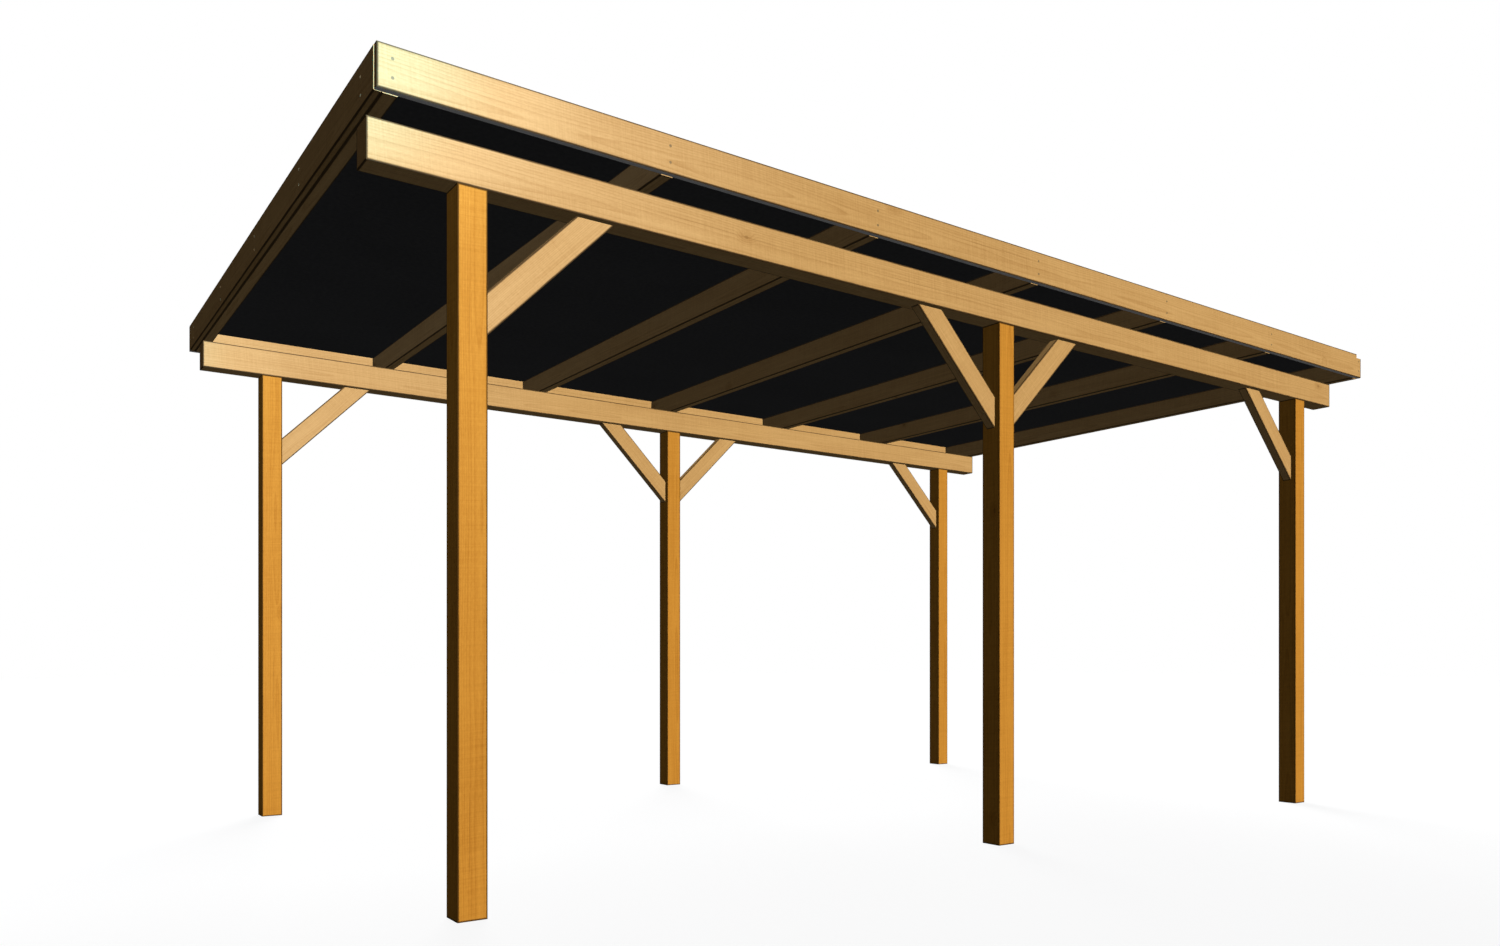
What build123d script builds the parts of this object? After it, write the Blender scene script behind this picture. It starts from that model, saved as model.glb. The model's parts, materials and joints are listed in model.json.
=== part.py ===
"""Free-standing timber carport with a flat roof, in millimetres, standing on the plane Z = 0.

Six square posts in two rows carry two purlins, knee braces stiffen each post against its purlin, seven
rafters lie across the purlins, and a thin dark roof deck lies on the rafters behind three fascia boards.
The fourth side, on the right, is the open eaves: both long fascias are notched there over the last rafter.
X runs along the rows, Y runs from the front row to the rear row, and the origin is the middle of the ground
that the roof covers.
"""
import os
from math import atan2, cos, sin

from build123d import *

# Posts
post_width = 90.0
post_height = 2100.0
post_pitch = 2234.0
posts_per_row = 3
row_pitch = 2587.0

# Purlins, as wide as the posts that carry them
purlin_height = 120.0
purlin_overhang = 254.0

# Knee braces, measured to the outer (lower) edge of each
brace_width = 90.0
brace_thickness = 42.0
brace_reach = 420.0
brace_drop = 420.0

# Rafters
rafter_count = 7
rafter_width = 42.0
rafter_height = 100.0
rafter_overhang = 141.0

# Fascia boards
fascia_thickness = 22.0
fascia_height = 119.0
fascia_lift = 1.0
corner_reveal = 2.0

# Roof deck
sheet_thickness = 10.0
sheet_gap = 3.0
covering_thickness = 2.0

# Eased long edges of the planed timber, and how far a cutter runs past the wood
arris = 2.0
overrun = 5.0

# Lengths that follow from the sizes above
row_length = (posts_per_row - 1) * post_pitch + post_width
purlin_length = row_length + 2 * purlin_overhang
rafter_length = row_pitch + post_width + 2 * rafter_overhang
rafter_pitch = (purlin_length - rafter_width) / (rafter_count - 1)
roof_length = purlin_length + fascia_thickness
long_fascia_length = roof_length - corner_reveal

# Levels
purlin_bottom = post_height
rafter_bottom = purlin_bottom + purlin_height
rafter_top = rafter_bottom + rafter_height
fascia_bottom = rafter_bottom + fascia_lift
fascia_top = fascia_bottom + fascia_height
covering_bottom = rafter_top + sheet_thickness

# Places: the roof is centred on the origin, and its only end fascia is at the left end
roof_right = roof_length / 2
purlin_left = roof_right - purlin_length
first_post_x = purlin_left + purlin_overhang + post_width / 2
first_rafter_x = purlin_left + rafter_width / 2
rows = {"front": -row_pitch / 2, "rear": row_pitch / 2}
columns = {"left": 0, "middle": 1, "right": posts_per_row - 1}


def timber(length_x, length_y, length_z, run):
    """A planed bar centred on X and Y with its foot at Z = 0, its four edges along run eased."""
    bar = Box(length_x, length_y, length_z, align=(Align.CENTER, Align.CENTER, Align.MIN))
    return chamfer(bar.edges().filter_by(run), arris)


def post_x(column):
    """Middle of a post, counted from the left end of a row."""
    return first_post_x + column * post_pitch


def rafter_x(index):
    """Middle of a rafter, counted from the left end of the roof."""
    return first_rafter_x + index * rafter_pitch


def post(column, row_y):
    """One square post, standing on the ground."""
    return Pos(post_x(column), row_y, 0) * timber(post_width, post_width, post_height, Axis.Z)


def purlin(row_y):
    """One long beam along the tops of a row of posts, flush with their faces."""
    middle = purlin_left + purlin_length / 2
    return Pos(middle, row_y, purlin_bottom) * timber(purlin_length, post_width, purlin_height, Axis.X)


def brace(column, side, row_y):
    """A knee brace with both ends mitred, seated on a post's side face and under the purlin.

    side is 1 for a brace that rises to the right of its post and -1 for one that rises to the left.
    """
    slope = atan2(brace_drop, brace_reach)
    seat_on_post = brace_width / cos(slope)
    seat_on_purlin = brace_width / sin(slope)
    outline = Plane.XZ * Polygon(
        (0, -brace_drop),
        (side * brace_reach, 0),
        (side * (brace_reach - seat_on_purlin), 0),
        (0, seat_on_post - brace_drop),
        align=None,
    )
    bar = extrude(outline, brace_thickness / 2, both=True)
    along = Axis((0, 0, 0), (side * brace_reach, 0, brace_drop))
    bar = chamfer(bar.edges().filter_by(along), arris)
    return Pos(post_x(column) + side * post_width / 2, row_y, purlin_bottom) * bar


def rafter(index):
    """One rafter across both purlins, from the front fascia to the rear fascia."""
    return Pos(rafter_x(index), 0, rafter_bottom) * timber(rafter_width, rafter_length, rafter_height, Axis.Y)


def long_fascia(facing):
    """A front (facing -1) or rear (facing 1) fascia, notched at its right end down to the last rafter's top."""
    board = timber(long_fascia_length, fascia_thickness, fascia_height, Axis.X)
    board = Pos(roof_right - long_fascia_length / 2, 0, fascia_bottom) * board
    notch_depth = fascia_top - rafter_top
    notch = Box(
        rafter_width + overrun,
        fascia_thickness + 2 * overrun,
        notch_depth + overrun,
        align=(Align.MIN, Align.CENTER, Align.MIN),
    )
    board -= Pos(roof_right - rafter_width, 0, rafter_top) * notch
    return Pos(0, facing * (rafter_length + fascia_thickness) / 2, 0) * board


def left_fascia():
    """The end fascia, against the first rafter and between the two long fascias."""
    board = timber(fascia_thickness, rafter_length, fascia_height, Axis.Y)
    return Pos(purlin_left - fascia_thickness / 2, 0, fascia_bottom) * board


def roof_sheet(index):
    """One deck sheet over a bay, its seams on the middles of the rafters and its ends on the outer ones."""
    left = purlin_left if index == 0 else rafter_x(index) + sheet_gap / 2
    right = roof_right if index == rafter_count - 2 else rafter_x(index + 1) - sheet_gap / 2
    sheet = Box(right - left, rafter_length, sheet_thickness, align=(Align.MIN, Align.CENTER, Align.MIN))
    return Pos(left, 0, rafter_top) * sheet


def roof_covering():
    """The waterproof skin over all the deck sheets, between the fascias."""
    skin = Box(purlin_length, rafter_length, covering_thickness, align=(Align.MAX, Align.CENTER, Align.MIN))
    return Pos(roof_right, 0, covering_bottom) * skin


def carport():
    """All the pieces by name."""
    pieces = {}
    for row, row_y in rows.items():
        for name, column in columns.items():
            pieces[f"{row}_{name}_post"] = post(column, row_y)
        pieces[f"{row}_purlin"] = purlin(row_y)
        pieces[f"{row}_left_brace"] = brace(columns["left"], 1, row_y)
        pieces[f"{row}_middle_left_brace"] = brace(columns["middle"], -1, row_y)
        pieces[f"{row}_middle_right_brace"] = brace(columns["middle"], 1, row_y)
        pieces[f"{row}_right_brace"] = brace(columns["right"], -1, row_y)
    for index in range(rafter_count):
        pieces[f"rafter_{index + 1}"] = rafter(index)
    pieces["front_fascia"] = long_fascia(-1)
    pieces["rear_fascia"] = long_fascia(1)
    pieces["left_fascia"] = left_fascia()
    for index in range(rafter_count - 1):
        pieces[f"roof_sheet_{index + 1}"] = roof_sheet(index)
    pieces["roof_covering"] = roof_covering()
    return pieces


os.makedirs("parts", exist_ok=True)
for node, solid in carport().items():
    export_step(solid, f"parts/{node}.step")
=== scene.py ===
"""Looks of the timber carport: woods, fixings, roof felt, studio and camera, in metres.

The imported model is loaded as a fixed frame. Its timbers keep their shapes, and each gets a wood of its own
that is grown in the stick's own axes. The screws and the roof felt are modelled here.
"""
from __future__ import annotations

import json
import logging
import math
from abc import ABC, abstractmethod
from collections.abc import Callable
from dataclasses import dataclass, replace
from enum import Enum

import bpy
from mathutils import Euler, Matrix, Vector

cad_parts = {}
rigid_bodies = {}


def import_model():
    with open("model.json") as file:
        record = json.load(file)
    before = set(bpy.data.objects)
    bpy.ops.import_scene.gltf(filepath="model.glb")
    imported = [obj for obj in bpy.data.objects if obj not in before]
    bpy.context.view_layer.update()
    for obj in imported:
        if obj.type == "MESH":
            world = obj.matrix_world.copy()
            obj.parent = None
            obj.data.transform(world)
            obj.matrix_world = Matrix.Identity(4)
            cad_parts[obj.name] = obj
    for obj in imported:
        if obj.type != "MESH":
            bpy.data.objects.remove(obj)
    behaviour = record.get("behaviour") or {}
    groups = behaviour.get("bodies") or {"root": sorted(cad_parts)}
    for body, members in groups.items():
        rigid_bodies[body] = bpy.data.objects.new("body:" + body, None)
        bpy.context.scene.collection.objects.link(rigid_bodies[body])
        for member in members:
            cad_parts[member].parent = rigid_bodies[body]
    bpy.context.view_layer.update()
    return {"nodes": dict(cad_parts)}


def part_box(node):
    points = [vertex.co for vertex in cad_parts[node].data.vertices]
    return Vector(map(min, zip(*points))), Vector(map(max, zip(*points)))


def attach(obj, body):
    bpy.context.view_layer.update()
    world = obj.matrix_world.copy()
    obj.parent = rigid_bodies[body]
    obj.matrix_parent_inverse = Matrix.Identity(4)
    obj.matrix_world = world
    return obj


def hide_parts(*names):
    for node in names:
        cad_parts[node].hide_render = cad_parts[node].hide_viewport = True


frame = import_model()

LOG = logging.getLogger("carport")

Rgb = tuple[float, float, float]
Triple = tuple[float, float, float]
Ends = tuple[float, float]
Material = bpy.types.Material
Node = bpy.types.Node
Socket = bpy.types.NodeSocket
Piece = bpy.types.Object

ROWS = ("front", "rear")
WHITE: Rgb = (1.0, 1.0, 1.0)
# What is nearer than this to a line or a plane lies on it
TOUCH = 1e-4
# A face looks up where more than this share of its normal does
FACING_SHARE = 0.9
# The middle of a pattern that runs from 0 to 1
MIDWAY = 0.5
# How far a seed shifts a pattern on each axis
SEED_SHARES: Triple = (1.0, 1.7, 2.3)
# A Mix node's sockets for its two colours and for their mix
MIX_FIRST, MIX_SECOND, MIX_RESULT = 6, 7, 2


class Axis(Enum):
    """The three directions of the frame."""

    X = 0
    Y = 1
    Z = 2


class Run(Enum):
    """Which way a timber's length points, as the turn that carries local X onto it."""

    ALONG = (0.0, 0.0, 0.0)
    ACROSS = (0.0, 0.0, math.radians(90.0))
    UPRIGHT = (0.0, math.radians(-90.0), 0.0)
    RISING_RIGHT = (0.0, math.radians(-45.0), 0.0)
    RISING_LEFT = (0.0, math.radians(-45.0), math.radians(180.0))


class MeshPart(Enum):
    """What edit mode selects, as the mesh's own list of such parts."""

    VERT = "vertices"
    EDGE = "edges"
    FACE = "polygons"


class LampKind(Enum):
    """The two kinds of lamp in the studio."""

    SUN = "SUN"
    SPOT = "SPOT"


class Value:
    """A number that varies over a surface, so that shader maths reads as a Python expression."""

    def __init__(self, graph: Graph, socket: Socket) -> None:
        """Keep the graph and the output socket that carries the number."""
        self.graph = graph
        self.socket = socket

    def _math(self, operation: str, *terms: Value | float) -> Value:
        """Add a Math node.

        Args:
            operation: The node's operation.
            terms: Values or plain numbers in the order of its sockets.

        Returns:
            The node's result.
        """
        node = self.graph.node("ShaderNodeMath", {"operation": operation}, dict(enumerate(terms)))
        return Value(self.graph, node.outputs[0])

    def __add__(self, other: Value | float) -> Value:
        """Return self + other."""
        return self._math("ADD", self, other)

    def __radd__(self, other: float) -> Value:
        """Return other + self."""
        return self._math("ADD", other, self)

    def __sub__(self, other: Value | float) -> Value:
        """Return self - other."""
        return self._math("SUBTRACT", self, other)

    def __rsub__(self, other: float) -> Value:
        """Return other - self."""
        return self._math("SUBTRACT", other, self)

    def __mul__(self, other: Value | float) -> Value:
        """Return self * other."""
        return self._math("MULTIPLY", self, other)

    def __rmul__(self, other: float) -> Value:
        """Return other * self."""
        return self._math("MULTIPLY", other, self)

    def __truediv__(self, other: Value | float) -> Value:
        """Return self / other."""
        return self._math("DIVIDE", self, other)

    def __rtruediv__(self, other: float) -> Value:
        """Return other / self."""
        return self._math("DIVIDE", other, self)

    def __pow__(self, other: Value | float) -> Value:
        """Return self ** other."""
        return self._math("POWER", self, other)

    def __rpow__(self, other: float) -> Value:
        """Return other ** self."""
        return self._math("POWER", other, self)

    def __abs__(self) -> Value:
        """Return the size of self without its sign."""
        return self._math("ABSOLUTE", self)

    def fraction(self) -> Value:
        """Return what is left over self's whole number."""
        return self._math("FRACT", self)

    def whole(self) -> Value:
        """Return the whole number below self."""
        return self._math("FLOOR", self)

    def least(self, other: Value | float) -> Value:
        """Return the smaller of self and other."""
        return self._math("MINIMUM", self, other)

    def most(self, other: Value | float) -> Value:
        """Return the larger of self and other."""
        return self._math("MAXIMUM", self, other)

    def fade(self, start: float, end: float) -> Value:
        """Ease from 0 to 1 while self goes from one number to another.

        Args:
            start: Where the result is 0.
            end: Where the result is 1, which may be below start.

        Returns:
            The eased share.
        """
        sockets = {"Value": self, "From Min": min(start, end), "From Max": max(start, end)}
        node = self.graph.node("ShaderNodeMapRange", {"interpolation_type": "SMOOTHSTEP"}, sockets)
        eased = Value(self.graph, node.outputs[0])
        return eased if start < end else 1.0 - eased


class Graph:
    """The node tree of a material or of the world."""

    def __init__(self, owner: Material | bpy.types.World) -> None:
        """Empty a node tree and keep it.

        Args:
            owner: The material or the world that holds the tree.
        """
        owner.use_nodes = True
        self.owner = owner
        self.tree = owner.node_tree
        self.tree.nodes.clear()

    def node(self, kind: str, settings: dict | None = None, sockets: dict | None = None) -> Node:
        """Add a node.

        Args:
            kind: The node's type.
            settings: Its properties, set first because they can change its sockets.
            sockets: Values, sockets or constants for its inputs, by name or number.

        Returns:
            The new node.
        """
        made = self.tree.nodes.new(kind)
        for name, setting in (settings or {}).items():
            setattr(made, name, setting)
        for key, given in (sockets or {}).items():
            source = given.socket if isinstance(given, Value) else given
            if isinstance(source, Socket):
                self.tree.links.new(source, made.inputs[key])
            else:
                made.inputs[key].default_value = source
        return made

    def place(self) -> Socket:
        """Return where a point is on its piece, in metres."""
        return self.node("ShaderNodeTexCoord").outputs["Object"]

    def split(self, vector: Socket) -> tuple[Value, ...]:
        """Return a vector's three numbers."""
        node = self.node("ShaderNodeSeparateXYZ", {}, {0: vector})
        return tuple(Value(self, socket) for socket in node.outputs)

    def stretch(self, vector: Socket, scale: Triple, seed: float) -> Socket:
        """Stretch and shift a pattern's coordinates.

        Args:
            vector: Coordinates in metres.
            scale: Pattern units to a metre on each axis.
            seed: Shift that makes one pattern differ from the next.

        Returns:
            The new coordinates.
        """
        shift = tuple(share * seed for share in SEED_SHARES)
        sockets = {"Vector": vector, "Scale": scale, "Location": shift}
        return self.node("ShaderNodeMapping", {"vector_type": "POINT"}, sockets).outputs[0]

    def vector(self, operation: str, first: object, second: object) -> Socket:
        """Return a Vector Math node's result: its number for a length, otherwise its vector."""
        made = self.node("ShaderNodeVectorMath", {"operation": operation}, {0: first, 1: second})
        return made.outputs["Value" if operation == "LENGTH" else "Vector"]

    def cells(self, vector: Socket) -> Node:
        """Return a node that splits its coordinates into random cells of about one unit."""
        return self.node("ShaderNodeTexVoronoi", {"feature": "F1"}, {"Vector": vector, "Scale": 1.0})

    def own_number(self, cells: Node) -> Value:
        """Return a number from 0 to 1 that is each cell's own."""
        colour = self.node("ShaderNodeSeparateColor", {}, {0: cells.outputs["Color"]})
        return Value(self, colour.outputs[0])

    def blend(self, share: Value | float, first: object, second: object) -> Socket:
        """Mix two colours.

        Args:
            share: 0 for the first colour, 1 for the second.
            first: A colour or a colour socket.
            second: A colour or a colour socket.

        Returns:
            The mixed colour.
        """
        ends = [end if isinstance(end, Socket) else (*end, 1.0) for end in (first, second)]
        settings = {"data_type": "RGBA", "clamp_factor": True}
        sockets = {0: share, MIX_FIRST: ends[0], MIX_SECOND: ends[1]}
        return self.node("ShaderNodeMix", settings, sockets).outputs[MIX_RESULT]

    def bump(self, height: Value, strength: float, depth: float) -> Socket:
        """Turn a relief into a normal.

        Args:
            height: The relief.
            strength: How much of it shows.
            depth: How many metres one unit of it is.

        Returns:
            The normal.
        """
        sockets = {"Strength": strength, "Distance": depth, "Height": height}
        return self.node("ShaderNodeBump", {}, sockets).outputs[0]

    def seen(self) -> Value:
        """Tell rays that show the background itself from rays that gather its light.

        Returns:
            1 for the first kind, 0 for the second.
        """
        path = self.node("ShaderNodeLightPath")
        kinds = ("Camera", "Glossy", "Transmission")
        camera, glossy, through = (Value(self, path.outputs[f"Is {kind} Ray"]) for kind in kinds)
        return camera.most(glossy).most(through)

    def show(self, shader: Node) -> None:
        """Show a shader through the output node that is named for the kind of owner."""
        self.node(f"ShaderNodeOutput{type(self.owner).__name__}", {}, {"Surface": shader.outputs[0]})

    def skin(self, sockets: dict) -> Material:
        """Show a Principled shader and return its material."""
        self.show(self.node("ShaderNodeBsdfPrincipled", {}, sockets))
        return self.owner


@dataclass(frozen=True)
class Stick:
    """One timber's own axes: its length on X, its section on Y and Z, measured from its middle."""

    node: str
    run: Run
    middle: Triple
    half: Triple
    seed: float

    @classmethod
    def of_box(cls, node: str, run: Run, seed: float) -> Stick:
        """Read a straight timber's axes from its box.

        Args:
            node: The timber's name.
            run: Which way its length points.
            seed: What makes its grain its own.

        Returns:
            The timber's axes.
        """
        low, high = (Vector(corner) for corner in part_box(node))
        half = (high - low) / 2
        turned = Euler(run.value).to_matrix().transposed() @ half
        return cls(node, run, tuple((low + high) / 2), tuple(abs(part) for part in turned), seed)

    def place(self, local: Triple) -> Vector:
        """Return where a point in the timber's own axes is."""
        return Vector(self.middle) + self.point(local)

    def point(self, local: Triple) -> Vector:
        """Return which way a direction in the timber's own axes points."""
        return Euler(self.run.value).to_matrix() @ Vector(local)


@dataclass(frozen=True)
class Grain:
    """A soft random pattern: its patches to a metre on each axis, its detail and how much it counts."""

    cells: Triple
    detail: float
    shift: float
    weight: float = 1.0
    relief: float = 0.0

    def pattern(self, graph: Graph, vector: Socket, seed: float = 0.0) -> Value:
        """Lay the pattern on a piece.

        Args:
            graph: The material's nodes.
            vector: Coordinates in metres.
            seed: What makes the pattern the piece's own.

        Returns:
            Numbers around 0, from about -0.5 to 0.5.
        """
        cells = graph.stretch(vector, self.cells, seed + self.shift)
        sockets = {"Vector": cells, "Scale": 1.0, "Detail": self.detail}
        return Value(graph, graph.node("ShaderNodeTexNoise", {}, sockets).outputs[0]) - MIDWAY


class WoodGraph(Graph):
    """The node tree of one timber's wood, with coordinates in the timber's own axes."""

    def __init__(self, name: str, stick: Stick) -> None:
        """Start the material of one timber.

        Args:
            name: The name of the wood.
            stick: The timber's own axes.
        """
        super().__init__(bpy.data.materials.new(f"{name}_{stick.node}"))
        turn = {"Vector": self.place(), "Location": stick.middle, "Rotation": stick.run.value}
        self.stick = stick
        self.local = self.node("ShaderNodeMapping", {"vector_type": "TEXTURE"}, turn).outputs[0]
        self.parts = self.split(self.local)

    def lay(self, grain: Grain, vector: Socket | None = None) -> Value:
        """Return a pattern that is the timber's own, laid in its axes or in other coordinates."""
        return grain.pattern(self, self.local if vector is None else vector, self.stick.seed)


@dataclass(frozen=True)
class Knots:
    """Small knots, scattered over a timber."""

    cells: Triple = (2.4, 13.0, 13.0)
    shift: float = 3.0
    odds: float = 0.13
    odds_blur: float = 0.02
    radius: float = 0.0080
    length_share: float = 0.6
    core_share: float = 0.8
    halo_share: float = 4.0
    ring_gap_share: float = 0.22
    ring_share: float = 0.25
    tint: float = 0.7
    halo_tint: float = 0.25
    relief: float = 0.4
    polish: float = 0.15

    def grow(self, wood: WoodGraph) -> tuple[Value, Value]:
        """Scatter the knots.

        Args:
            wood: The timber's nodes and axes.

        Returns:
            The knots, and the bent wood round them.
        """
        spread = wood.stretch(wood.local, self.cells, wood.stick.seed + self.shift)
        found = wood.cells(spread)
        apart = wood.vector("SUBTRACT", spread, found.outputs["Position"])
        long, wide, high = self.cells
        apart = wood.vector("MULTIPLY", apart, (self.length_share / long, 1.0 / wide, 1.0 / high))
        distance = Value(wood, wood.vector("LENGTH", apart, (0.0, 0.0, 0.0)))
        kept = wood.own_number(found).fade(self.odds + self.odds_blur, self.odds)
        rings = (distance / (self.ring_gap_share * self.radius)).fraction()
        ringed = (1.0 - self.ring_share) + self.ring_share * rings
        core = self.core_share * self.radius
        knot = distance.fade(self.radius, core) * kept * ringed
        return knot, distance.fade(self.halo_share * self.radius, core) * kept


@dataclass(frozen=True)
class Rings:
    """Growth rings round a wandering pith, bent round the knots."""

    pith: Ends = (0.014, -0.020)
    gap: float = 0.0056
    swing: Grain = Grain((0.8, 3.5, 3.5), detail=2.0, shift=2.0, weight=0.040)
    twist: Grain = Grain((0.8, 3.5, 3.5), detail=2.0, shift=7.0, weight=0.040)
    lean_step: float = 2.9
    taper: float = 0.006
    knot_bend: float = 0.011
    sharpness: float = 3.0
    late_end: float = 0.90
    tint: float = 0.36
    relief: float = 0.5
    dullness: float = 0.10

    def grow(self, wood: WoodGraph, halo: Value) -> Value:
        """Lay the rings.

        Args:
            wood: The timber's nodes and axes.
            halo: The bent wood round the knots.

        Returns:
            0 in the soft early wood, rising to 1 in the dense late wood of each ring.
        """
        x, y, z = wood.parts
        lean = math.sin(self.lean_step * wood.stick.seed)
        across = y + self.swing.weight * wood.lay(self.swing) - self.pith[0] * lean
        upward = z + self.twist.weight * wood.lay(self.twist) - self.pith[1]
        radius = (across**2.0 + upward**2.0) ** 0.5 + self.taper * lean * x + self.knot_bend * halo
        phase = (radius / self.gap).fraction()
        return phase**self.sharpness * phase.fade(1.0, self.late_end)


@dataclass(frozen=True)
class Checks:
    """Thin drying checks along the middle of a timber's faces across Y."""

    width: float = 0.0008
    core_share: float = 0.3
    wander: Grain = Grain((1.4, 1.0, 1.0), detail=4.0, shift=6.0, weight=0.030)
    breaks: Grain = Grain((1.9, 1.0, 1.0), detail=1.0, shift=8.0)
    opening: Ends = (0.05, 0.16)
    offset_share: float = 0.30
    offset_step: float = 5.3
    tint: float = 0.85
    relief: float = 1.5

    def grow(self, wood: WoodGraph) -> Value:
        """Open the checks.

        Args:
            wood: The timber's nodes and axes.

        Returns:
            1 in a check, 0 in sound wood.
        """
        x, _, z = wood.parts
        run = wood.node("ShaderNodeCombineXYZ", {}, {0: x}).outputs[0]
        wander = self.wander.weight * wood.lay(self.wander, run)
        gate = wood.lay(self.breaks, run).fade(*self.opening)
        side = math.sin(self.offset_step * wood.stick.seed)
        offset = self.offset_share * wood.stick.half[2] * side
        return abs(z + wander - offset).fade(self.width, self.core_share * self.width) * gate


@dataclass(frozen=True)
class WoodFinish:
    """Stained softwood with its grain, saw marks, end grain, dark arrises and, on some boards, primer."""

    name: str
    pale: Rgb
    deep: Rgb
    ends: Rgb
    arris: Rgb
    mean_share: float = 0.19
    rings: Rings = Rings()
    knots: Knots = Knots()
    checks: Checks = Checks()
    fibre: Grain = Grain((13.0, 760.0, 760.0), detail=2.0, shift=0.0, weight=0.34, relief=0.8)
    streak: Grain = Grain((2.6, 120.0, 120.0), detail=2.0, shift=4.0, weight=0.46)
    fleck: Grain = Grain((85.0, 190.0, 190.0), detail=1.0, shift=1.0, weight=0.34)
    cloud: Grain = Grain((2.2, 11.0, 11.0), detail=2.0, shift=9.0, weight=0.36)
    saw: Grain = Grain((240.0, 5.0, 5.0), detail=1.0, shift=5.0, weight=0.34, relief=0.7)
    saw_tilt: float = 0.07
    saw_slant: float = 0.09
    saw_cloud_share: float = 2.4
    end_depth: Ends = (0.0016, 0.0004)
    end_share: float = 0.55
    end_ring_share: float = 0.8
    fresh_ends: bool = False
    arris_width: float = 0.0066
    arris_core_share: float = 0.35
    arris_ragged: float = 0.004
    arris_share: float = 0.90
    primer: Rgb | None = None
    primer_depth: float = 0.0004
    primer_fade_share: float = 1.6
    primer_inset: Ends = (0.0019, 0.0023)
    primer_share: float = 0.95
    primer_fibre_share: float = 0.4
    bump: float = 0.24
    bump_depth: float = 0.0009
    roughness: float = 0.62
    fibre_polish: float = 0.12
    gloss: float = 0.0

    def material(self, stick: Stick) -> Material:
        """Grow the wood of one stick.

        Args:
            stick: The timber's own axes.

        Returns:
            A material for that timber only.
        """
        wood = WoodGraph(self.name, stick)
        knot, halo = self.knots.grow(wood)
        late = self.rings.grow(wood, halo)
        check = self.checks.grow(wood)
        fibre, streak, fleck = wood.lay(self.fibre), wood.lay(self.streak), wood.lay(self.fleck)
        cloud = wood.lay(self.cloud)
        saw = self._saw_marks(wood) * (1.0 + self.saw_cloud_share * cloud)

        share = self.mean_share + self.rings.tint * late + self.fibre.weight * fibre
        share = share + self.streak.weight * streak + self.fleck.weight * fleck + self.saw.weight * saw
        share = share + self.cloud.weight * cloud + self.knots.halo_tint * halo
        colour = wood.blend(share, self.pale, self.deep)
        marred = (knot * self.knots.tint).most(check * self.checks.tint)
        colour = wood.blend(marred, colour, self.ends)
        height = self.rings.relief * late + self.fibre.relief * fibre + self.saw.relief * saw
        height = height - self.checks.relief * check - self.knots.relief * knot
        roughness = self.roughness + self.rings.dullness * late - self.fibre_polish * fibre
        skin = {
            "Base Color": self._edges(wood, colour, late, fibre),
            "Roughness": roughness - self.knots.polish * knot,
            "Normal": wood.bump(height, self.bump, self.bump_depth),
            "Specular IOR Level": self.gloss,
        }
        return wood.skin(skin)

    def _saw_marks(self, wood: WoodGraph) -> Value:
        """Lay the fine marks that a saw leaves nearly square across a timber.

        Args:
            wood: The timber's nodes and axes.

        Returns:
            The marks, around 0.
        """
        slant = self.saw_slant * math.cos(wood.stick.seed)
        turn = {"Vector": wood.local, "Rotation": (0.0, self.saw_tilt, slant)}
        tilted = wood.node("ShaderNodeMapping", {"vector_type": "POINT"}, turn).outputs[0]
        return wood.lay(self.saw, tilted)

    def _edges(self, wood: WoodGraph, colour: Socket, late: Value, fibre: Value) -> Socket:
        """Add end grain, dark arrises and a primed lower edge.

        Args:
            wood: The timber's nodes and axes.
            colour: The wood's colour on its long faces.
            late: The late wood of the rings.
            fibre: The fine fibres.

        Returns:
            The colour of the whole timber.
        """
        halves = wood.stick.half
        long, wide, high = (half - abs(part) for half, part in zip(halves, wood.parts))
        cut = long.fade(*self.end_depth)
        sawn = self.pale if self.fresh_ends else self.ends
        colour = wood.blend(cut * (self.end_share + self.end_ring_share * late), colour, sawn)
        edge = long.least(wide).most(long.most(wide).least(high)) + self.arris_ragged * fibre
        worn = self.arris_share * edge.fade(self.arris_width, self.arris_core_share * self.arris_width)
        colour = wood.blend(worn * (1.0 - cut) if self.fresh_ends else worn, colour, self.arris)
        if self.primer is None:
            return colour
        above = wood.parts[2] + halves[2]
        low = above.fade(self.primer_fade_share * self.primer_depth, self.primer_depth)
        inside = wide.fade(*self.primer_inset)
        covered = self.primer_share + self.primer_fibre_share * fibre
        return wood.blend(low * inside * covered, colour, self.primer)


@dataclass(frozen=True)
class BoardFinish:
    """A dark, dull film-faced board with a fine grain and faint clouds."""

    name: str
    dark: Rgb
    light: Rgb
    grit: Grain = Grain((60.0, 60.0, 60.0), detail=3.0, shift=3.0, weight=0.9)
    cloud: Grain = Grain((1.6, 2.6, 1.0), detail=4.0, shift=8.0, weight=0.5)
    bump: float = 0.5
    bump_depth: float = 0.0002
    roughness: float = 0.72
    cloud_dullness: float = 0.15
    gloss: float = 0.0

    def material(self) -> Material:
        """Make the board's face.

        Returns:
            The material.
        """
        graph = Graph(bpy.data.materials.new(self.name))
        place = graph.place()
        grit = self.grit.pattern(graph, place)
        cloud = self.cloud.pattern(graph, place)
        share = MIDWAY + self.grit.weight * grit + self.cloud.weight * cloud
        skin = {
            "Base Color": graph.blend(share, self.dark, self.light),
            "Roughness": self.roughness + self.cloud_dullness * cloud,
            "Normal": graph.bump(grit, self.bump, self.bump_depth),
            "Specular IOR Level": self.gloss,
        }
        return graph.skin(skin)


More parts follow.
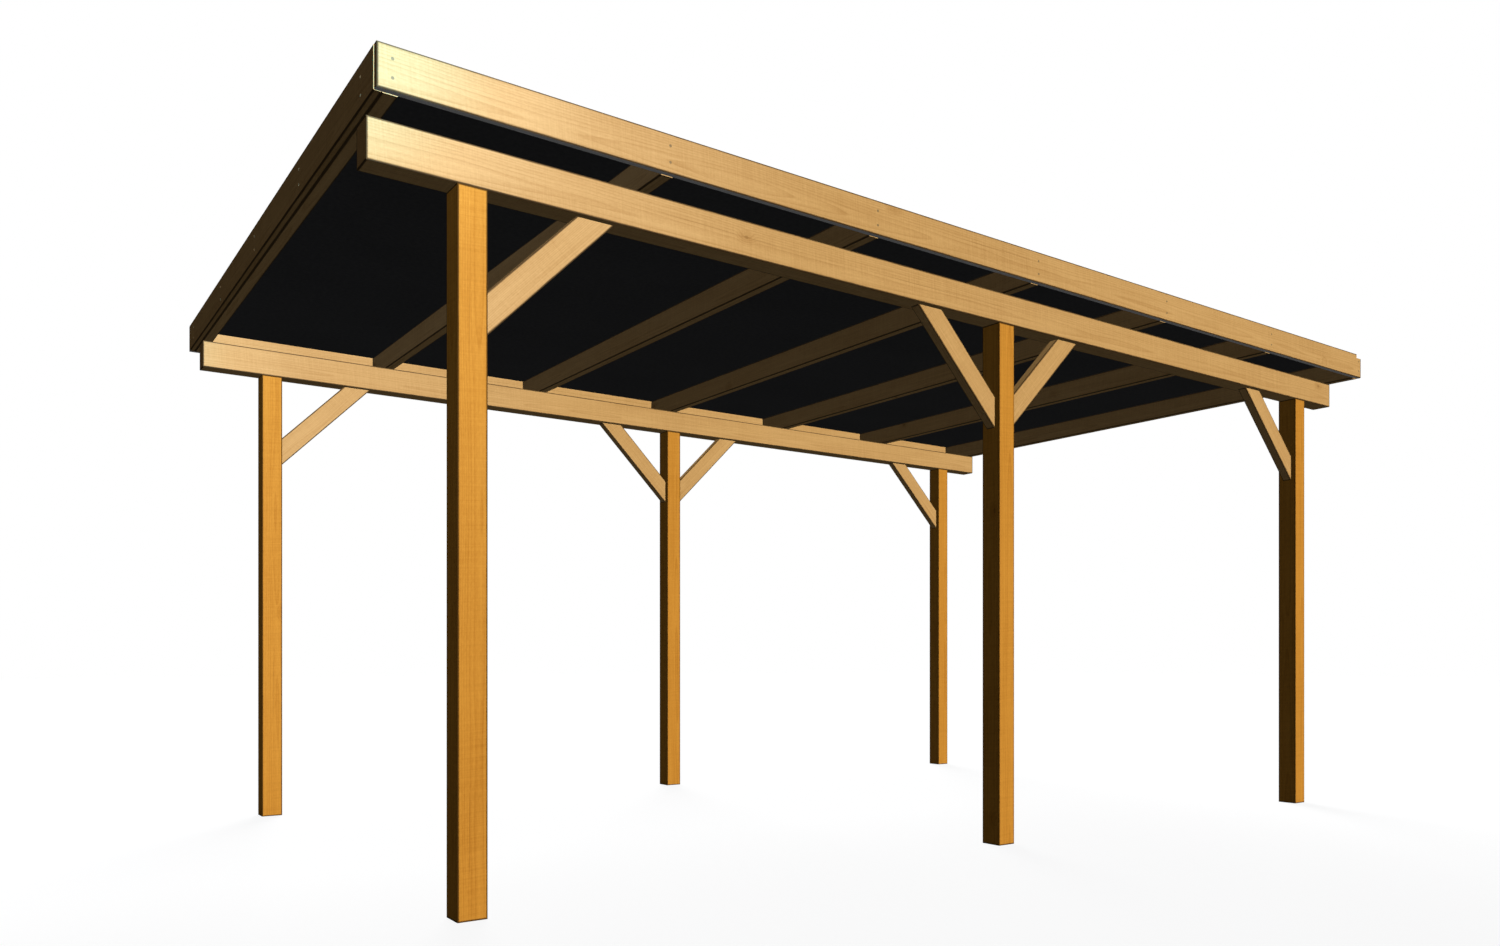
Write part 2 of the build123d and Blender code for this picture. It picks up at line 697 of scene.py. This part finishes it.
@dataclass(frozen=True)
class FeltFinish:
    """Mineral roofing felt in strips: grit, weather clouds, a tone for each strip, bitumen at the laps."""

    name: str
    dark: Rgb
    light: Rgb
    bitumen: Rgb
    mean_share: float = 0.3
    strip_share: float = 0.4
    grit_cells: Triple = (480.0, 480.0, 480.0)
    grit_shift: float = 3.0
    grit_share: float = 0.7
    grit_pit: float = 1.5
    cloud: Grain = Grain((1.6, 2.6, 1.0), detail=4.0, shift=8.0, weight=0.9)
    streak: Grain = Grain((22.0, 1.1, 1.0), detail=2.0, shift=4.0, weight=0.4)
    bleed: float = 0.016
    bleed_share: float = 0.9
    bleed_core_share: float = 0.85
    bleed_tint: float = 0.9
    wave: Grain = Grain((1.0, 26.0, 1.0), detail=2.0, shift=2.0, weight=1.6)
    wall: Ends = (1.49, 1.47)
    first_strip: Ends = (-0.5, -0.4)
    bump: float = 0.5
    bump_depth: float = 0.0010
    roughness: float = 0.88
    cloud_dullness: float = 0.12
    bleed_polish: float = 0.4
    gloss: float = 0.02

    def material(self, first_lap: float, pitch: float) -> Material:
        """Make the felt.

        Args:
            first_lap: Where the edge of the first lap lies on X.
            pitch: How far it is from one lap to the next.

        Returns:
            The material.
        """
        graph = Graph(bpy.data.materials.new(self.name))
        place = graph.place()
        x, y, _ = graph.split(place)
        count = (x - first_lap) / pitch
        strip = graph.node("ShaderNodeTexWhiteNoise", {"noise_dimensions": "1D"}, {"W": count.whole()})
        chips = graph.cells(graph.stretch(place, self.grit_cells, self.grit_shift))
        grit = graph.own_number(chips) - MIDWAY
        cloud = self.cloud.pattern(graph, place)
        share = self.mean_share + self.strip_share * Value(graph, strip.outputs[0]) + self.grit_share * grit
        share = share + self.cloud.weight * cloud + self.streak.weight * self.streak.pattern(graph, place)
        colour = graph.blend(share, self.dark, self.light)

        width = self.bleed * (self.bleed_share + self.wave.weight * self.wave.pattern(graph, place))
        bleed = (count.fraction() * pitch / width).fade(1.0, self.bleed_core_share)
        bleed = bleed * abs(y).fade(*self.wall) * count.fade(*self.first_strip)
        height = (grit - self.grit_pit * Value(graph, chips.outputs["Distance"])) * (1.0 - bleed)
        skin = {
            "Base Color": graph.blend(bleed * self.bleed_tint, colour, self.bitumen),
            "Roughness": self.roughness + self.cloud_dullness * cloud - self.bleed_polish * bleed,
            "Normal": graph.bump(height, self.bump, self.bump_depth),
            "Specular IOR Level": self.gloss,
        }
        return graph.skin(skin)


@dataclass(frozen=True)
class ZincFinish:
    """Passivated zinc on the screws, in small dull spangles."""

    name: str = "zinc"
    dull: Rgb = (0.22, 0.14, 0.055)
    bright: Rgb = (0.38, 0.25, 0.105)
    spangle: Grain = Grain((900.0, 900.0, 900.0), detail=2.0, shift=1.0, weight=1.2)
    roughness: float = 0.5
    spangle_dullness: float = 0.3
    gloss: float = 0.02

    def material(self) -> Material:
        """Make the screws' zinc.

        Returns:
            The material.
        """
        graph = Graph(bpy.data.materials.new(self.name))
        spangle = self.spangle.pattern(graph, graph.place())
        skin = {
            "Base Color": graph.blend(MIDWAY + self.spangle.weight * spangle, self.dull, self.bright),
            "Roughness": self.roughness + self.spangle_dullness * spangle,
            "Specular IOR Level": self.gloss,
        }
        return graph.skin(skin)


SAND = WoodFinish(
    "sand_wood",
    pale=(0.68, 0.40, 0.143),
    deep=(0.40, 0.19, 0.048),
    ends=(0.33, 0.16, 0.045),
    arris=(0.050, 0.027, 0.010),
)
HONEY = WoodFinish(
    "honey_wood",
    pale=(0.69, 0.30, 0.040),
    deep=(0.40, 0.135, 0.011),
    ends=(0.30, 0.11, 0.014),
    arris=(0.045, 0.020, 0.005),
)
PRIMED = replace(SAND, name="primed_wood", rings=Rings(pith=(0.05, -0.02)), primer=(0.90, 0.82, 0.68))
BUTTED = replace(SAND, name="butted_wood", fresh_ends=True)
# Painted shade: a darker copy of the sand wood for the left board, coloured darker all over to stand in for
# the shade on its outer face
PAINTED_SHADE_SAND = replace(BUTTED, name="shaded_wood", pale=(0.56, 0.32, 0.108), deep=(0.32, 0.15, 0.036))
BOARD = BoardFinish("roof_board", dark=(0.061, 0.055, 0.047), light=(0.105, 0.096, 0.081))
FELT = FeltFinish(
    "roof_felt", dark=(0.040, 0.041, 0.044), light=(0.098, 0.099, 0.103), bitumen=(0.012, 0.012, 0.013)
)
ZINC = ZincFinish()


class Shaper:
    """One mesh on the bench, shaped with edit-mode operators."""

    def __init__(self, name: str, primitive: Callable[..., set], **sizes: object) -> None:
        """Clear the bench and start from a primitive.

        Args:
            name: The piece's name.
            primitive: The operator that adds the first form.
            sizes: Its size and place.
        """
        bpy.ops.object.select_all(action="DESELECT")
        primitive(**sizes)
        self.piece = bpy.context.object
        self.piece.name = self.piece.data.name = name

    def pick(self, kind: MeshPart, test: Callable[[object], bool]) -> None:
        """Select parts of the mesh by place or normal, and stay in edit mode.

        Args:
            kind: What is selected.
            test: Says of one part whether it is wanted.
        """
        bpy.ops.object.mode_set(mode="EDIT")
        bpy.ops.mesh.select_mode(type=kind.name)
        bpy.ops.mesh.select_all(action="DESELECT")
        bpy.ops.object.mode_set(mode="OBJECT")
        for part in getattr(self.piece.data, kind.value):
            part.select = test(part)
        bpy.ops.object.mode_set(mode="EDIT")

    def lies(self, edge: bpy.types.MeshEdge, axis: Axis, level: float) -> bool:
        """Return whether both ends of an edge lie at a level on an axis."""
        ends = (self.piece.data.vertices[index].co for index in edge.vertices)
        return all(abs(end[axis.value] - level) < TOUCH for end in ends)

    def done(self) -> Piece:
        """Leave edit mode with every normal outward.

        Returns:
            The piece, with its place in its mesh.
        """
        bpy.ops.object.mode_set(mode="EDIT")
        bpy.ops.mesh.select_all(action="SELECT")
        bpy.ops.mesh.normals_make_consistent(inside=False)
        bpy.ops.object.mode_set(mode="OBJECT")
        bpy.ops.object.transform_apply(location=True, rotation=True, scale=True)
        return self.piece


def numbered(stem: str) -> list[str]:
    """Return the nodes of the frame whose names are a stem and a number, in order."""
    found = (name for name in frame["nodes"] if name.startswith(stem))
    return sorted(found, key=lambda name: int(name.removeprefix(stem)))


def join(name: str, pieces: list[Piece]) -> Piece:
    """Join pieces to one mesh at the origin.

    Args:
        name: The name of the result.
        pieces: What is joined.

    Returns:
        The joined piece.
    """
    bpy.ops.object.select_all(action="DESELECT")
    for piece in pieces:
        piece.select_set(True)
    bpy.context.view_layer.objects.active = pieces[0]
    bpy.ops.object.join()
    bpy.ops.object.transform_apply(location=True, rotation=True, scale=True)
    joined = bpy.context.object
    joined.name = joined.data.name = name
    return joined


def clothe(piece: Piece, material: Material) -> None:
    """Give a piece one material all over."""
    piece.data.materials.clear()
    piece.data.materials.append(material)


def redress(node: str, material: Material) -> None:
    """Put a material in the slots of a node of the frame."""
    for holder in frame["nodes"][node].material_slots:
        holder.material = material


@dataclass
class Screws:
    """Countersunk screw heads with a six-pointed recess, joined to one piece for each board."""

    radius: float = 0.0045
    depth: float = 0.0026
    proud: float = 0.00035
    chamfer: float = 0.00025
    chamfer_steps: int = 2
    rim: float = 0.0016
    recess: float = 0.0003
    points: int = 6
    notch_share: float = 0.66
    turn_step: float = 0.7

    def head(self) -> Piece:
        """Model one head, its top facing +Z.

        Returns:
            The head at the origin.
        """
        shaper = Shaper(
            "screw_head",
            bpy.ops.mesh.primitive_cylinder_add,
            vertices=2 * self.points,
            radius=self.radius,
            depth=self.depth,
            location=(0.0, 0.0, self.proud - self.depth / 2),
        )
        bpy.ops.object.transform_apply(location=True)
        shaper.pick(MeshPart.EDGE, lambda edge: shaper.lies(edge, Axis.Z, self.proud))
        bpy.ops.mesh.bevel(offset=self.chamfer, segments=self.chamfer_steps, affect="EDGES")
        shaper.pick(MeshPart.FACE, self._is_top)
        bpy.ops.mesh.inset(thickness=self.rim, depth=0.0)
        bpy.ops.object.mode_set(mode="OBJECT")
        top = [spot for spot in shaper.piece.data.vertices if spot.co.z > self.proud - TOUCH]
        inner = [spot for spot in top if spot.co.xy.length < self.radius - self.rim]
        inner.sort(key=lambda spot: math.atan2(spot.co.y, spot.co.x))
        notches = {spot.index for spot in inner[::2]}
        shaper.pick(MeshPart.VERT, lambda spot: spot.index in notches)
        narrowed = (self.notch_share, self.notch_share, 1.0)
        bpy.ops.transform.resize(value=narrowed, center_override=(0.0, 0.0, self.proud))
        shaper.pick(MeshPart.FACE, self._is_top)
        bpy.ops.mesh.extrude_region_move(TRANSFORM_OT_translate={"value": (0.0, 0.0, -self.recess)})
        return shaper.done()

    @staticmethod
    def _is_top(face: bpy.types.MeshPolygon) -> bool:
        """Return whether a face looks up from the middle of a head."""
        return face.normal.z > FACING_SHARE and face.center.xy.length < TOUCH

    def set_in(self, name: str, places: list[tuple[Vector, Vector]]) -> Piece:
        """Copy the head to its places and join the copies.

        Args:
            name: The name of the joined piece.
            places: Where each head sits, and which way it faces.

        Returns:
            The joined piece.
        """
        first = self.head()
        copies = []
        for count, (spot, facing) in enumerate(places):
            copy = first.copy()
            copy.data = first.data.copy()
            bpy.context.collection.objects.link(copy)
            tilt = facing.to_track_quat("Z", "Y").to_matrix().to_4x4()
            turn = Matrix.Rotation(self.turn_step * count, 4, "Z")
            copy.matrix_world = Matrix.Translation(spot) @ tilt @ turn
            copies.append(copy)
        bpy.data.objects.remove(first)
        joined = join(name, copies)
        clothe(joined, bpy.data.materials.get(ZINC.name) or ZINC.material())
        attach(joined, "root")
        return joined


class SubAssembly(ABC):
    """Some nodes of the frame that are dressed together, with the new pieces that belong to them."""

    @abstractmethod
    def build(self) -> list[Piece]:
        """Dress the nodes and return the new pieces."""


@dataclass
class Posts(SubAssembly):
    """The six posts."""

    columns: tuple[str, ...] = ("left", "middle", "right")
    finish: WoodFinish = HONEY
    seed: float = 1.3

    def build(self) -> list[Piece]:
        """Dress the posts.

        Returns:
            No new piece.
        """
        names = [f"{row}_{column}_post" for row in ROWS for column in self.columns]
        for count, name in enumerate(names):
            redress(name, self.finish.material(Stick.of_box(name, Run.UPRIGHT, self.seed + count)))
        return []


@dataclass
class Purlins(SubAssembly):
    """The two long beams."""

    finish: WoodFinish = SAND
    seed: float = 11.2

    def build(self) -> list[Piece]:
        """Dress the beams.

        Returns:
            No new piece.
        """
        for count, row in enumerate(ROWS):
            name = f"{row}_purlin"
            redress(name, self.finish.material(Stick.of_box(name, Run.ALONG, self.seed + count)))
        return []


@dataclass
class Braces(SubAssembly):
    """The eight knee braces and the screws through their lower edges."""

    finish: WoodFinish = SAND
    width: float = 0.090
    screw_from_end: float = 0.075
    screw_pitch: float = 0.022
    row_seeds: tuple[tuple[str, float], ...] = (("front", 44.9), ("rear", 40.2))
    rising: tuple[tuple[str, Run], ...] = (
        ("left", Run.RISING_RIGHT),
        ("middle_left", Run.RISING_LEFT),
        ("middle_right", Run.RISING_RIGHT),
        ("right", Run.RISING_LEFT),
    )

    def stick(self, name: str, run: Run, seed: float) -> Stick:
        """Read a brace's axes from its box, whose upper inner corner lies in the joint.

        Args:
            name: The brace's name.
            run: Which way it rises.
            seed: What makes its grain its own.

        Returns:
            The brace's axes.
        """
        low, high = (Vector(corner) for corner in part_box(name))
        reach = high.x - low.x
        shift = (reach - self.width / math.sqrt(2.0)) / 2
        inner = low.x + shift if run is Run.RISING_RIGHT else high.x - shift
        middle = (inner, (low.y + high.y) / 2, high.z - shift)
        half = (reach / math.sqrt(2.0), (high.y - low.y) / 2, self.width / 2)
        return Stick(name, run, middle, half, seed)

    def build(self) -> list[Piece]:
        """Dress the braces and set their screws.

        Returns:
            The screws of each row.
        """
        pieces = []
        for row, seed in self.row_seeds:
            places = []
            for count, (column, run) in enumerate(self.rising):
                stick = self.stick(f"{row}_{column}_brace", run, seed + count)
                redress(stick.node, self.finish.material(stick))
                places.extend(self._places(stick))
            pieces.append(Screws().set_in(f"{row}_brace_screws", places))
        return pieces

    def _places(self, stick: Stick) -> list[tuple[Vector, Vector]]:
        """Find the places of one brace's screws, two near each end of its lower edge.

        Args:
            stick: The brace's axes.

        Returns:
            Where each screw sits, and which way it faces.
        """
        along = stick.half[0] - self.screw_from_end
        across = self.screw_pitch / 2
        down = stick.point((0.0, 0.0, -1.0))
        corners = [(end * along, side * across) for end in (-1, 1) for side in (-1, 1)]
        return [(stick.place((x, y, -stick.half[2])), down) for x, y in corners]


@dataclass
class Rafters(SubAssembly):
    """The seven rafters."""

    finish: WoodFinish = BUTTED
    seed: float = 32.6

    def build(self) -> list[Piece]:
        """Dress the rafters.

        Returns:
            No new piece.
        """
        for count, name in enumerate(numbered("rafter_")):
            redress(name, self.finish.material(Stick.of_box(name, Run.ACROSS, self.seed + count)))
        return []


@dataclass
class Fascias(SubAssembly):
    """The three fascia boards and the screws that hold them to the rafters."""

    finish: WoodFinish = PRIMED
    end_finish: WoodFinish = PAINTED_SHADE_SAND
    seed: float = 41.9
    end_seed: float = 47.3
    facings: tuple[tuple[str, float], ...] = (("front", -1.0), ("rear", 1.0))
    screw_rise: Ends = (-0.026, 0.024)
    end_screw_shares: tuple[float, ...] = (-0.92, -0.46, 0.0, 0.46, 0.92)

    def build(self) -> list[Piece]:
        """Dress the boards and set their screws.

        Returns:
            The screws of each board.
        """
        rafters = [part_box(name) for name in numbered("rafter_")]
        middles = [(low[0] + high[0]) / 2 for low, high in rafters]
        pieces = []
        for count, (row, facing) in enumerate(self.facings):
            board = Stick.of_box(f"{row}_fascia", Run.ALONG, self.seed + count)
            redress(board.node, self.finish.material(board))
            face = board.middle[1] + facing * board.half[1]
            places = [
                (Vector((x, face, board.middle[2] + rise)), Vector((0.0, facing, 0.0)))
                for x in middles
                for rise in self.screw_rise
            ]
            pieces.append(Screws().set_in(f"{row}_fascia_screws", places))
        pieces.append(self._left())
        return pieces

    def _left(self) -> Piece:
        """Dress the left board in the darker wood with painted shade, and set its screws.

        Returns:
            The screws.
        """
        board = Stick.of_box("left_fascia", Run.ACROSS, self.end_seed)
        # The left board gets the darker wood with painted shade
        redress(board.node, self.end_finish.material(board))
        face = board.middle[0] - board.half[1]
        places = [
            (Vector((face, share * board.half[0], board.middle[2] + rise)), Vector((-1.0, 0.0, 0.0)))
            for share in self.end_screw_shares
            for rise in self.screw_rise
        ]
        return Screws().set_in("left_fascia_screws", places)


@dataclass
class Roof(SubAssembly):
    """The deck sheets, and the felt laid over them in lapped strips."""

    thickness: float = 0.002
    lap: float = 0.055
    ramp: float = 0.012
    upstand: float = 0.0065
    turn_down: float = 0.011

    def build(self) -> list[Piece]:
        """Dress the deck and lay the felt.

        Returns:
            The felt.
        """
        deck = BOARD.material()
        sheets = []
        for name in numbered("roof_sheet_"):
            redress(name, deck)
            sheets.append(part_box(name))
        last = len(sheets) - 1
        strips = [self._strip(count, count == last, *sheet) for count, sheet in enumerate(sheets)]
        felt = join("roof_felt", strips)
        first_seam, second_seam = (high[0] for _, high in sheets[:2])
        clothe(felt, FELT.material(first_seam + self.lap, second_seam - first_seam))
        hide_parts("roof_covering")
        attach(felt, "root")
        return [felt]

    def _strip(self, count: int, last: bool, low: Triple, high: Triple) -> Piece:
        """Lay one strip, lapped over the next one and turned up at the fascias or down at the eaves.

        Args:
            count: The strip's number from the left, from 0.
            last: Whether it is the strip at the eaves.
            low: The lower corner of the sheet under it.
            high: The upper corner of the sheet under it.

        Returns:
            The strip.
        """
        left, seam, bed = low[0], high[0], high[2]
        right = seam if last else seam + self.lap
        middle = ((left + right) / 2, (low[1] + high[1]) / 2, bed)
        shaper = Shaper(f"felt_{count}", bpy.ops.mesh.primitive_plane_add, size=1.0, location=middle)
        bpy.ops.object.transform_apply(location=True)
        bpy.ops.object.mode_set(mode="EDIT")
        bpy.ops.mesh.select_all(action="SELECT")
        bpy.ops.transform.resize(value=(right - left, high[1] - low[1], 1.0), center_override=middle)
        if not last:
            for cut in (seam - self.ramp, seam):
                bpy.ops.mesh.select_all(action="SELECT")
                bpy.ops.mesh.bisect(plane_co=(cut, 0.0, bed), plane_no=(1.0, 0.0, 0.0))
            shaper.pick(MeshPart.VERT, lambda spot: spot.co.x > seam - TOUCH)
            bpy.ops.transform.translate(value=(0.0, 0.0, self.thickness))
        walls = [(Axis.Y, low[1]), (Axis.Y, high[1])]
        if count == 0:
            walls.append((Axis.X, left))
        shaper.pick(MeshPart.EDGE, lambda edge: any(shaper.lies(edge, *wall) for wall in walls))
        bpy.ops.mesh.extrude_region_move(TRANSFORM_OT_translate={"value": (0.0, 0.0, self.upstand)})
        if last:
            eaves = [(Axis.X, right), (Axis.Z, bed)]
            shaper.pick(MeshPart.EDGE, lambda edge: all(shaper.lies(edge, *level) for level in eaves))
            bpy.ops.mesh.extrude_region_move(TRANSFORM_OT_translate={"value": (0.0, 0.0, -self.turn_down)})
        bpy.ops.object.mode_set(mode="OBJECT")
        body = shaper.piece.modifiers.new("body", "SOLIDIFY")
        body.thickness = self.thickness
        body.use_even_offset = True
        body.offset = 1.0
        bpy.ops.object.modifier_apply(modifier=body.name)
        return shaper.done()


@dataclass(frozen=True)
class Lamp:
    """One lamp of the studio, placed by the direction its light comes from."""

    name: str
    kind: LampKind
    toward: Triple
    strength: float
    softness: float
    colour: Rgb = WHITE
    shadow: bool = True
    aim: Triple = (0.0, 0.0, 1.2)
    distance: float = 12.0
    cone: float = 60.0

    def build(self) -> Piece:
        """Hang the lamp.

        Returns:
            The lamp's object.
        """
        data = bpy.data.lights.new(self.name, self.kind.value)
        data.energy = self.strength
        data.color = self.colour
        data.use_shadow = self.shadow
        if self.kind is LampKind.SUN:
            data.angle = math.radians(self.softness)
        else:
            data.shadow_soft_size = self.softness
            data.spot_size = math.radians(self.cone)
            data.spot_blend = 1.0
        lamp = bpy.data.objects.new(self.name, data)
        bpy.context.scene.collection.objects.link(lamp)
        way = Vector(self.toward).normalized()
        lamp.location = Vector(self.aim) + self.distance * way
        lamp.rotation_euler = way.to_track_quat("Z", "Y").to_euler()
        lamp.visible_camera = False
        return lamp


FRONT_LIGHT = Lamp(
    "front_light", LampKind.SUN, (0.02, -1.0, 0.30), strength=2.98, softness=3.0, shadow=False
)
TOP_LIGHT = Lamp("top_light", LampKind.SUN, (0.22, 0.10, 0.97), strength=0.62, softness=40.0)
REAR_LIGHT = Lamp("rear_light", LampKind.SUN, (0.38, 0.74, 0.56), strength=3.1, softness=25.0)
# Three pools of cool light, each wider than the one before, brighten the upper left corner
POOL = Lamp(
    "pool_corner",
    LampKind.SPOT,
    (0.12, -0.99, 0.06),
    strength=5900.0,
    softness=0.1,
    colour=(0.01, 0.42, 1.0),
    shadow=False,
    aim=(-2.62, -1.50, 2.43),
    distance=8.0,
    cone=6.0,
)
POOL_NEAR = replace(
    POOL, name="pool_near", strength=2170.0, colour=(0.36, 0.57, 1.0), aim=(-2.54, -1.50, 2.46), cone=10.2
)
POOL_WIDE = replace(
    POOL, name="pool_wide", strength=2820.0, colour=(0.45, 0.586, 1.0), aim=(-3.60, -1.50, 2.93), cone=39.0
)


@dataclass
class Studio:
    """A white floor that keeps a soft shadow, a dim world and the lamps."""

    lamps: tuple[Lamp, ...] = (FRONT_LIGHT, TOP_LIGHT, REAR_LIGHT, POOL, POOL_NEAR, POOL_WIDE)
    floor_size: float = 90.0
    floor_dim: Rgb = (0.066, 0.073, 0.088)
    floor_pale: Rgb = (0.98, 0.98, 0.98)
    shadow_share: float = 0.13
    world_dim: Rgb = (0.066, 0.071, 0.086)

    def build(self) -> None:
        """Lay the floor, hang the lamps and light the world, with no light from piece to piece."""
        for piece in bpy.context.scene.objects:
            piece.visible_diffuse = False
        plane = bpy.ops.mesh.primitive_plane_add
        floor = Shaper("floor", plane, size=self.floor_size, location=(0.0, 0.0, 0.0)).done()
        clothe(floor, self._floor_material())
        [lamp.build() for lamp in self.lamps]
        graph = Graph(bpy.data.worlds.new("studio"))
        bpy.context.scene.world = graph.owner
        colour = graph.blend(graph.seen(), self.world_dim, WHITE)
        graph.show(graph.node("ShaderNodeBackground", {}, {"Color": colour, "Strength": 1.0}))

    def _floor_material(self) -> Material:
        """Make a floor that looks white and keeps a faint shadow, but throws little light back up.

        Returns:
            The material.
        """
        graph = Graph(bpy.data.materials.new("floor"))
        dull = graph.node("ShaderNodeBsdfDiffuse", {}, {"Color": (*self.floor_dim, 1.0)})
        pale = graph.node("ShaderNodeBsdfDiffuse", {}, {"Color": (*self.floor_pale, 1.0)})
        white = graph.node("ShaderNodeEmission", {}, {"Color": (*WHITE, 1.0), "Strength": 1.0})
        shares = {0: self.shadow_share, 1: white.outputs[0], 2: pale.outputs[0]}
        shown = graph.node("ShaderNodeMixShader", {}, shares)
        kinds = {0: graph.seen(), 1: dull.outputs[0], 2: shown.outputs[0]}
        graph.show(graph.node("ShaderNodeMixShader", {}, kinds))
        return graph.owner


@dataclass(frozen=True)
class Viewpoint:
    """The photograph's viewing angle, with upright lines kept parallel by the lens shift."""

    eye: Triple = (-3.3874, -4.3714, 0.74986)
    turn: float = 35.3702
    level: float = 90.0
    photo_width: float = 1500.0
    photo_height: float = 946.0
    focal_pixels: float = 1101.367
    axis_column: float = 754.899
    horizon_row: float = 658.745
    sensor: float = 36.0

    def build(self) -> Piece:
        """Set up the camera.

        Returns:
            The camera's object.
        """
        data = bpy.data.cameras.new("camera")
        data.sensor_fit = "HORIZONTAL"
        data.sensor_width = self.sensor
        data.lens = self.sensor * self.focal_pixels / self.photo_width
        data.shift_x = (self.photo_width / 2 - self.axis_column) / self.photo_width
        data.shift_y = (self.horizon_row - self.photo_height / 2) / self.photo_width
        camera = bpy.data.objects.new("camera", data)
        bpy.context.scene.collection.objects.link(camera)
        camera.location = self.eye
        camera.rotation_euler = (math.radians(self.level), 0.0, math.radians(-self.turn))
        bpy.context.scene.camera = camera
        return camera


def main() -> None:
    """Dress the carport, set up the studio and report each piece."""
    logging.basicConfig(level=logging.INFO, format="%(message)s")
    for part in (Posts(), Purlins(), Braces(), Rafters(), Fascias(), Roof()):
        pieces = part.build()
        LOG.info("%s: dressed, new pieces: %s", type(part).__name__, [piece.name for piece in pieces])
    Studio().build()
    Viewpoint().build()
    bpy.context.scene.view_settings.view_transform = "Standard"


if __name__ == "__main__":
    main()
